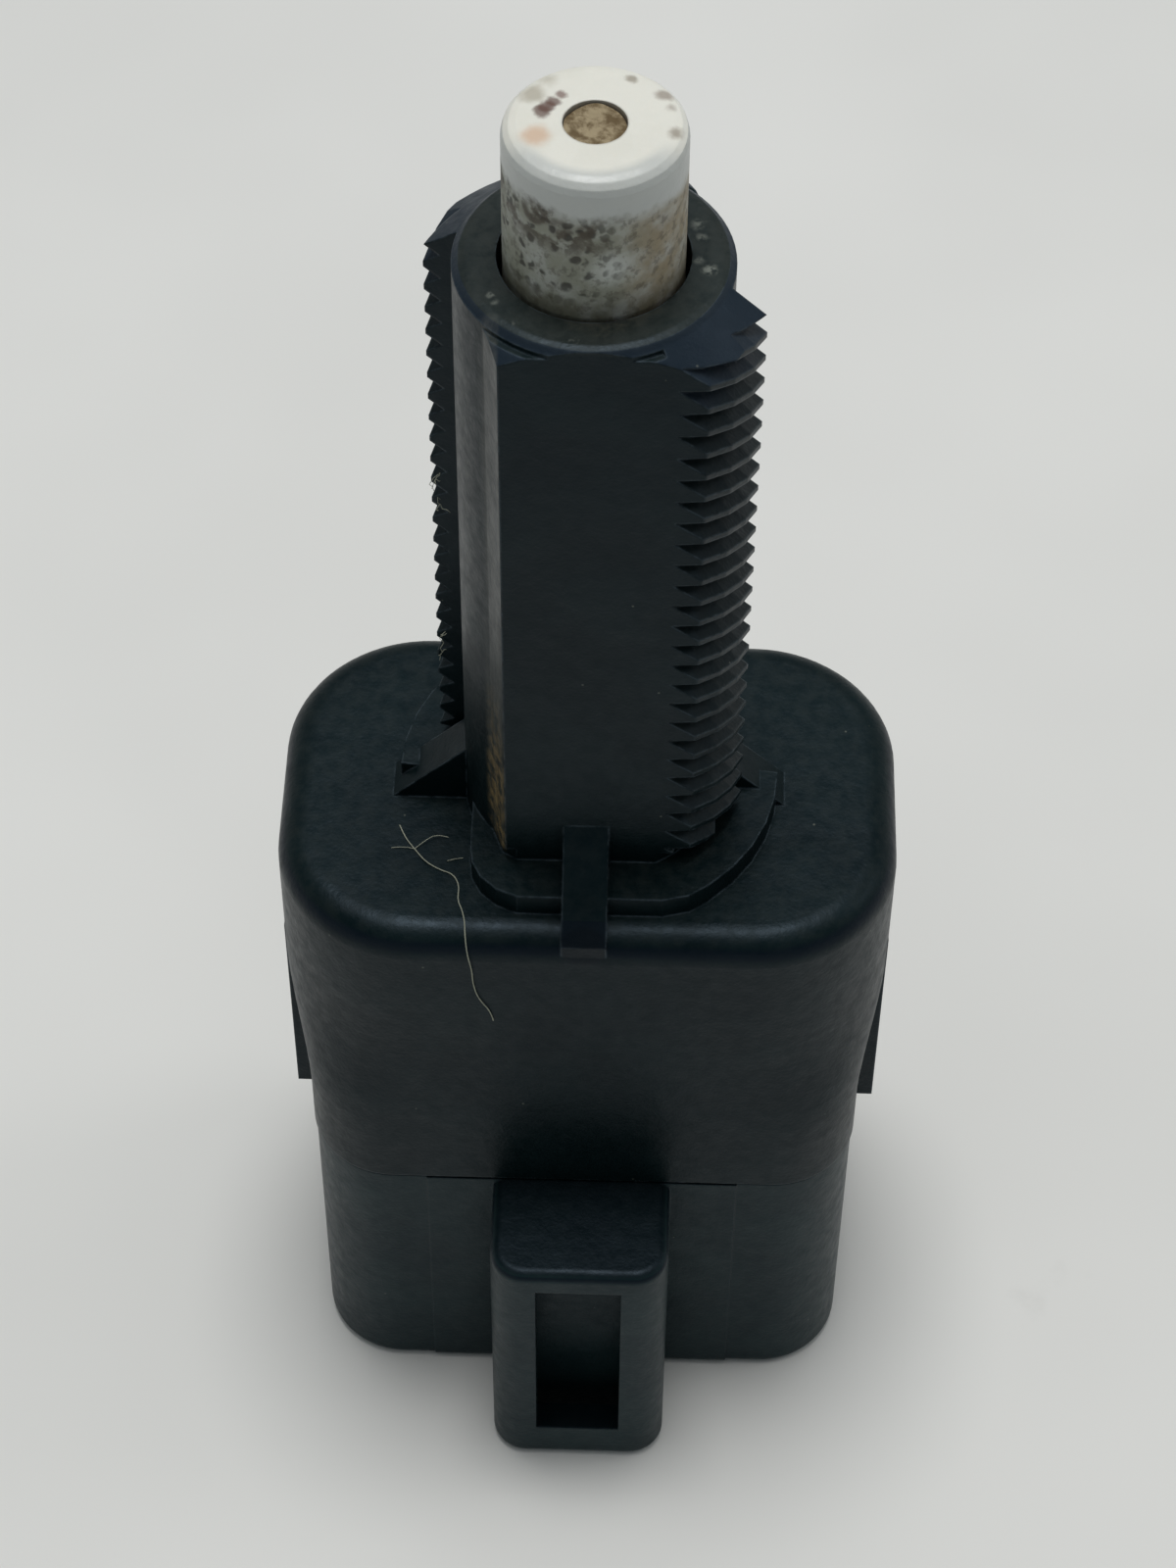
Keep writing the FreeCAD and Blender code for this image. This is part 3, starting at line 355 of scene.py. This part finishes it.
def white_acetal(name):
    """White acetal: satin, worn and stained at the tip, grimy where it slides in the barrel; painted
    light makes the top paler and the side and the front of the top's edge greyer.
    """
    material, tree, shader = new_material(name)
    place = millimetres(tree)
    upward = axis_of(tree, tree.nodes.new("ShaderNodeNewGeometry").outputs["Normal"], 2)
    across = axis_of(tree, place, 0)
    along = axis_of(tree, place, 1)
    height = axis_of(tree, place, 2)
    cloud = noise_at(tree, place, 0.5, 4.0)
    fine = noise_at(tree, place, 2.6, 6.0, 0.62)
    coarse = noise_at(tree, place, 0.9, 5.0, 0.6)
    # Painted light and shade: the tip's upward faces are painted paler and its side greyer.
    colour = mixed(tree, ramp(tree, upward, 0.2, 0.85), linear("#b5b8b4"), linear("#e0ded4"))
    colour = tinted(tree, colour, ramp(tree, cloud, 0.4, 0.7), 0.25, "#cfccbf")
    radial = maths(tree, "SQRT", maths(tree, "ADD", product(tree, across, across),
                                       product(tree, along, along)))
    # Painted shade: the front of the top beyond about 2.1 mm from the axis is painted side-grey, so
    # the rounded edge looks wider.
    painted_shoulder_shade = product(tree, ramp(tree, radial, 2.1, 2.6), ramp(tree, along, -1.9, -0.6, 1.0, 0.0))
    colour = tinted(tree, colour, painted_shoulder_shade, 0.8, "#b9bcb9")
    wavy = maths(tree, "ADD", height, product(tree, coarse, 1.5))
    wavy = maths(tree, "ADD", wavy, product(tree, across, 0.06))
    grime = ramp(tree, wavy, PLUNGER_TIP - 1.1, PLUNGER_TIP - 0.45, 1.0, 0.0)
    colour = plunger_grime(tree, place, fine, coarse, grime, colour)
    top = ramp(tree, height, PLUNGER_TIP - 0.45, PLUNGER_TIP - 0.05)
    for centre, radius, softness, tint, strength in TIP_MARKS:
        mark = product(tree, spot(tree, place, centre, radius, softness, 0.5), top)
        colour = tinted(tree, colour, mark, strength, tint)
    hole = spot(tree, place, (0.0, 0.0, PLUNGER_TIP - 0.35), GRIT_RADIUS, 0.16)
    colour = tinted(tree, colour, hole, 0.8, "#6e5a42")
    tree.links.new(colour, shader.inputs["Base Color"])
    tree.links.new(ramp(tree, grime, 0.0, 1.0, 0.34, 0.6), shader.inputs["Roughness"])
    shader.inputs["Subsurface Weight"].default_value = 0.15
    shader.inputs["Subsurface Radius"].default_value = (1.0, 0.9, 0.8)
    shader.inputs["Subsurface Scale"].default_value = 0.25 * MM
    surface_bump(tree, shader, softened_normal(tree), [(coarse, 0.05 * MM), (fine, 0.02 * MM)])
    return material


def dried_grit(name):
    """Tan grit packed in the tip's hole."""
    material, tree, shader = new_material(name)
    place = millimetres(tree)
    grain = noise_at(tree, place, 1.9, 6.0, 0.65)
    colour = mixed(tree, ramp(tree, grain, 0.38, 0.62), linear("#625136"), linear("#9c8d70"))
    tree.links.new(colour, shader.inputs["Base Color"])
    shader.inputs["Roughness"].default_value = 0.9
    surface_bump(tree, shader, softened_normal(tree), [(grain, 0.12 * MM)])
    return material


def natural_nylon(name):
    """Natural nylon: cream, satin, slightly mottled."""
    material, tree, shader = new_material(name)
    place = millimetres(tree)
    cloud = noise_at(tree, place, 0.6, 4.0)
    colour = mixed(tree, cloud, linear("#cfc8b4"), linear("#dfdacb"))
    tree.links.new(colour, shader.inputs["Base Color"])
    tree.links.new(ramp(tree, cloud, 0.3, 0.7, 0.38, 0.5), shader.inputs["Roughness"])
    surface_bump(tree, shader, softened_normal(tree), [(noise_at(tree, place, 5.0, 3.0), 0.01 * MM)])
    return material


def bare_metal(name, dark, light, low_roughness, high_roughness, stretch):
    """Bare metal with marks drawn out along the way it was rolled or drawn."""
    material, tree, shader = new_material(name)
    place = millimetres(tree)
    drawn = add(tree, "ShaderNodeMapping", {0: place, 3: stretch})
    marks = noise_at(tree, drawn, 4.0, 4.0)
    cloud = noise_at(tree, place, 0.7, 3.0)
    colour = mixed(tree, product(tree, maths(tree, "ADD", marks, cloud), 0.5),
                   linear(dark), linear(light))
    tree.links.new(colour, shader.inputs["Base Color"])
    tree.links.new(ramp(tree, marks, 0.3, 0.7, low_roughness, high_roughness),
                   shader.inputs["Roughness"])
    shader.inputs["Metallic"].default_value = 1.0
    surface_bump(tree, shader, softened_normal(tree), [(marks, 0.004 * MM)])
    return material


def lint_fibre(name):
    """Pale cotton lint, matt."""
    material, tree, shader = new_material(name)
    place = millimetres(tree)
    colour = mixed(tree, noise_at(tree, place, 2.0), linear("#7b7e70"), linear("#a3a492"))
    tree.links.new(colour, shader.inputs["Base Color"])
    shader.inputs["Roughness"].default_value = 0.9
    return material


def paper(name):
    """White paper, matt, with faint smudges."""
    material, tree, shader = new_material(name)
    place = millimetres(tree)
    cloud = noise_at(tree, place, 0.02, 3.0)
    colour = mixed(tree, ramp(tree, cloud, 0.3, 0.7), linear("#dbdad6"), linear("#e2e1dd"))
    smudge = ramp(tree, noise_at(tree, place, 0.07, 6.0, 0.6), 0.68, 0.80)
    colour = tinted(tree, colour, smudge, 0.25, "#a9a8a2")
    tree.links.new(colour, shader.inputs["Base Color"])
    shader.inputs["Roughness"].default_value = 0.7
    shader.inputs["Specular IOR Level"].default_value = 0.2
    return material


housing_finish = black_nylon("housing_plastic", True, "#030f10", "#081617")
base_finish = black_nylon("base_plastic", False, "#101f21", "#182829")
plunger_finish = white_acetal("plunger_plastic")
carrier_finish = natural_nylon("carrier_plastic")
spring_finish = bare_metal("spring_steel", "#8b8b8c", "#b5b5b4", 0.25, 0.4, (1, 1, 1))
bridge_finish = bare_metal("bridge_brass", "#b39042", "#d2b066", 0.28, 0.42, (1, 0.15, 1))
terminal_finish = bare_metal("terminal_brass", "#a9a698", "#c9c6ba", 0.3, 0.45, (1, 1, 0.15))
contact_finish = bare_metal("contact_silver", "#b4b4b2", "#dcdcda", 0.22, 0.36, (1, 1, 1))

FINISHES = {
    "upper_housing": housing_finish,
    "connector_base": base_finish,
    "plunger": plunger_finish,
    "contact_carrier": carrier_finish,
}
for node_name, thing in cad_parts.items():
    finish = FINISHES.get(node_name)
    if finish is None:
        if "spring" in node_name:
            finish = spring_finish
        elif node_name.endswith("_bridge"):
            finish = bridge_finish
        elif "_terminal_" in node_name:
            finish = terminal_finish
        else:
            finish = contact_finish
    for material_slot in thing.material_slots:
        material_slot.material = finish


def add_object(name, mesh, finish, body):
    made = bpy.data.objects.new(name, mesh)
    bpy.context.scene.collection.objects.link(made)
    made.data.materials.append(finish)
    if body:
        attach(made, body)
    return made


def tube_mesh(name, centres, radius, sides):
    """Closed round tube through points in millimetres."""
    shape = bmesh.new()
    rings = []
    for index, centre in enumerate(centres):
        before = centres[max(index - 1, 0)]
        after = centres[min(index + 1, len(centres) - 1)]
        along = (after - before).normalized()
        side = along.orthogonal() if not rings else previous_side
        side = (side - along * side.dot(along)).normalized()
        previous_side = side
        across = along.cross(side)
        ring = []
        for corner in range(sides):
            turn = 2 * math.pi * corner / sides
            spoke = side * math.cos(turn) + across * math.sin(turn)
            ring.append(shape.verts.new((centre + spoke * radius) * MM))
        rings.append(ring)
    for first, second in zip(rings, rings[1:]):
        for corner in range(sides):
            following = (corner + 1) % sides
            shape.faces.new((first[corner], first[following], second[following], second[corner]))
    shape.faces.new(list(reversed(rings[0])))
    shape.faces.new(rings[-1])
    for face in shape.faces:
        face.smooth = True
    mesh = bpy.data.meshes.new(name)
    shape.to_mesh(mesh)
    shape.free()
    return mesh


def coil_points(radius, wire, turns, length, per_turn=28):
    """Centre line of a coil spring with closed ends, standing on its lower end."""
    end_rise = 1.15 * wire
    open_rise = (length - wire - 2 * end_rise) / (turns - 2)
    points = []
    for station in range(round(turns * per_turn) + 1):
        turn = station / per_turn
        rise = end_rise * min(turn, 1) + end_rise * max(turn - turns + 1, 0)
        rise += open_rise * min(max(turn - 1, 0), turns - 2)
        angle = 2 * math.pi * turn
        points.append(Vector((radius * math.cos(angle), radius * math.sin(angle),
                              rise + wire / 2)))
    return points


# Round-wire springs stand for the flat-sided coils of the solids
low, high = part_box("return_spring")
fixed_end = low[2] / MM
length = (high[2] - low[2]) / MM
coil = [point + Vector((0, 0, fixed_end))
        for point in coil_points(RETURN_COIL_RADIUS, RETURN_WIRE, RETURN_TURNS, length)]
coil_mesh = tube_mesh("return_spring_coil", coil, RETURN_WIRE / 2, 12)
spring = add_object("return_spring_coil", coil_mesh, spring_finish, "housing")
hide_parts("return_spring")
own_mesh(spring)
for circuit, side in (("lamp", -1), ("cruise", 1)):
    node_name = circuit + "_bridge_spring"
    low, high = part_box(node_name)
    start = (low[0] if side > 0 else high[0]) / MM
    middle = (low[2] + high[2]) / 2 / MM
    upright = coil_points(BRIDGE_COIL_RADIUS, BRIDGE_WIRE, BRIDGE_TURNS, BRIDGE_SPRING_LENGTH)
    lying = [Vector((start + side * point.z, side * point.y, middle - point.x * side))
             for point in upright]
    coil_mesh = tube_mesh(node_name + "_coil", lying, BRIDGE_WIRE / 2, 10)
    coil_piece = add_object(node_name + "_coil", coil_mesh, spring_finish, "plunger")
    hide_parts(node_name)

# Lint caught on the cover and in the teeth, and grit in the tip's hole
LINT = {
    "lint_long": (0.024, (
        (-7.20, -2.30, 30.14), (-6.99, -2.87, 30.16), (-6.57, -3.44, 30.14),
        (-6.12, -4.09, 30.20), (-5.55, -4.42, 30.14), (-5.04, -4.60, 30.14),
        (-4.77, -5.19, 30.22), (-4.82, -5.83, 30.14), (-4.62, -6.29, 30.14),
        (-4.49, -6.90, 30.22), (-4.46, -7.45, 30.02), (-4.36, -7.95, 29.50),
        (-4.20, -7.98, 28.60), (-4.18, -7.88, 27.55), (-3.99, -7.85, 26.60),
        (-3.52, -7.86, 25.80), (-3.44, -7.85, 25.20))),
    "lint_branch": (0.017, (
        (-6.57, -3.44, 30.14), (-6.16, -3.08, 30.26), (-5.72, -2.77, 30.24),
        (-5.30, -2.86, 30.16))),
    "lint_stub": (0.015, ((-7.45, -3.40, 30.12), (-6.95, -3.36, 30.20), (-6.57, -3.44, 30.14))),
    "lint_scrap": (0.015, ((-5.30, -3.98, 30.13), (-4.98, -3.88, 30.18), (-4.70, -3.82, 30.13))),
}
lint_finish = lint_fibre("cotton_lint")
for lint_name, (lint_radius, corners) in LINT.items():
    strand = bpy.data.curves.new(lint_name, "CURVE")
    strand.dimensions = "3D"
    strand.bevel_depth = lint_radius * MM
    strand.bevel_resolution = 2
    strand.use_fill_caps = True
    run = strand.splines.new("NURBS")
    run.points.add(len(corners) - 1)
    for point, corner in zip(run.points, corners):
        point.co = (*(Vector(corner) * MM), 1.0)
    run.order_u = 3
    run.use_endpoint_u = True
    add_object(lint_name, strand, lint_finish, "housing")

for tuft in range(8):
    start = Vector((-5.25, -1.45, random.choice((39.5, 41.0, 47.5, 49.0)) + random.uniform(-1, 1)))
    strand = [start]
    for step in range(6):
        strand.append(strand[-1] + Vector((random.uniform(-0.14, 0.16),
                                           random.uniform(-0.10, 0.05),
                                           random.uniform(-0.30, 0.16))))
    tuft_name = "lint_tuft_%d" % tuft
    add_object(tuft_name, tube_mesh(tuft_name, strand, 0.012, 5), lint_finish, "housing")

grit_shape = bmesh.new()
centre = grit_shape.verts.new((0, 0, GRIT_LEVEL * MM))
rings = []
for share in (0.2, 0.4, 0.6, 0.8, 1.0):
    ring = []
    for corner in range(GRIT_CORNERS):
        turn = 2 * math.pi * corner / GRIT_CORNERS
        spoke = Vector((math.cos(turn), math.sin(turn), 0)) * GRIT_RADIUS * share
        lift = 0.10 * share ** 2 + 0.12 * noise.noise(spoke * 1.6)
        ring.append(grit_shape.verts.new((spoke + Vector((0, 0, GRIT_LEVEL + lift))) * MM))
    rings.append(ring)
for corner in range(GRIT_CORNERS):
    following = (corner + 1) % GRIT_CORNERS
    grit_shape.faces.new((centre, rings[0][corner], rings[0][following]))
    for inner, outer in zip(rings, rings[1:]):
        grit_shape.faces.new((inner[corner], outer[corner], outer[following], inner[following]))
for face in grit_shape.faces:
    face.smooth = True
grit_mesh = bpy.data.meshes.new("tip_grit")
grit_shape.to_mesh(grit_mesh)
grit_shape.free()
add_object("tip_grit", grit_mesh, dried_grit("tan_grit"), "plunger")

# Camera at the photograph's angle
turned = Matrix.Rotation(CAMERA_TURN, 3, "Z")
backward = turned @ Vector((0, -math.cos(CAMERA_ELEVATION), math.sin(CAMERA_ELEVATION)))
level = turned @ Vector((1, 0, 0))
rising = turned @ Vector((0, math.sin(CAMERA_ELEVATION), math.cos(CAMERA_ELEVATION)))
right = math.cos(CAMERA_ROLL) * level + math.sin(CAMERA_ROLL) * rising
up = math.cos(CAMERA_ROLL) * rising - math.sin(CAMERA_ROLL) * level
camera = bpy.data.objects.new("camera", bpy.data.cameras.new("camera"))
bpy.context.scene.collection.objects.link(camera)
camera.data.lens = CAMERA_LENS
camera.data.sensor_width = 36.0
camera.data.clip_start = 0.01
pose = Matrix((right, up, backward)).transposed().to_4x4()
pose.translation = (CAMERA_AIM + backward * CAMERA_DISTANCE) * MM
camera.matrix_world = pose
bpy.context.scene.camera = camera

# Floor, light and surroundings
floor_shape = bmesh.new()
bmesh.ops.create_grid(floor_shape, x_segments=1, y_segments=1, size=2.0)
floor_mesh = bpy.data.meshes.new("floor")
floor_shape.to_mesh(floor_mesh)
floor_shape.free()
floor = add_object("floor", floor_mesh, paper("floor_paper"), None)


def soft_light(name, place, aim, width, power):
    lamp = bpy.data.lights.new(name, "AREA")
    lamp.shape = "DISK"
    lamp.size = width
    lamp.energy = power
    thing = bpy.data.objects.new(name, lamp)
    bpy.context.scene.collection.objects.link(thing)
    thing.location = place
    thing.rotation_euler = (Vector(aim) - Vector(place)).to_track_quat("-Z", "Y").to_euler()


soft_light("overhead", (-0.01, 0.07, 0.60), (0, 0, 0.03), 0.22, 1.85)
soft_light("window_right", (0.55, 0.10, 0.45), (0, 0, 0.03), 0.25, 0.35)

# Surroundings: bright overhead and dim all round, a little brighter at the horizon
world = bpy.data.worlds.new("surroundings")
world.use_nodes = True
sky = world.node_tree
direction = sky.nodes.new("ShaderNodeTexCoord").outputs["Generated"]
elevation = axis_of(sky, direction, 2)
low_sky = mixed(sky, ramp(sky, elevation, 0.05, 0.40), linear("#b6b9b8"), linear("#5c666d"))
behind = ramp(sky, axis_of(sky, direction, 1), 0.1, 0.9)
low_sky = tinted(sky, low_sky, behind, 0.4, "#a3abb0")
sky_colour = mixed(sky, ramp(sky, elevation, 0.72, 0.97), low_sky, linear("#e9eae9"))
sky.links.new(sky_colour, sky.nodes["Background"].inputs["Color"])
bpy.context.scene.world = world
bpy.context.scene.view_settings.view_transform = "Standard"
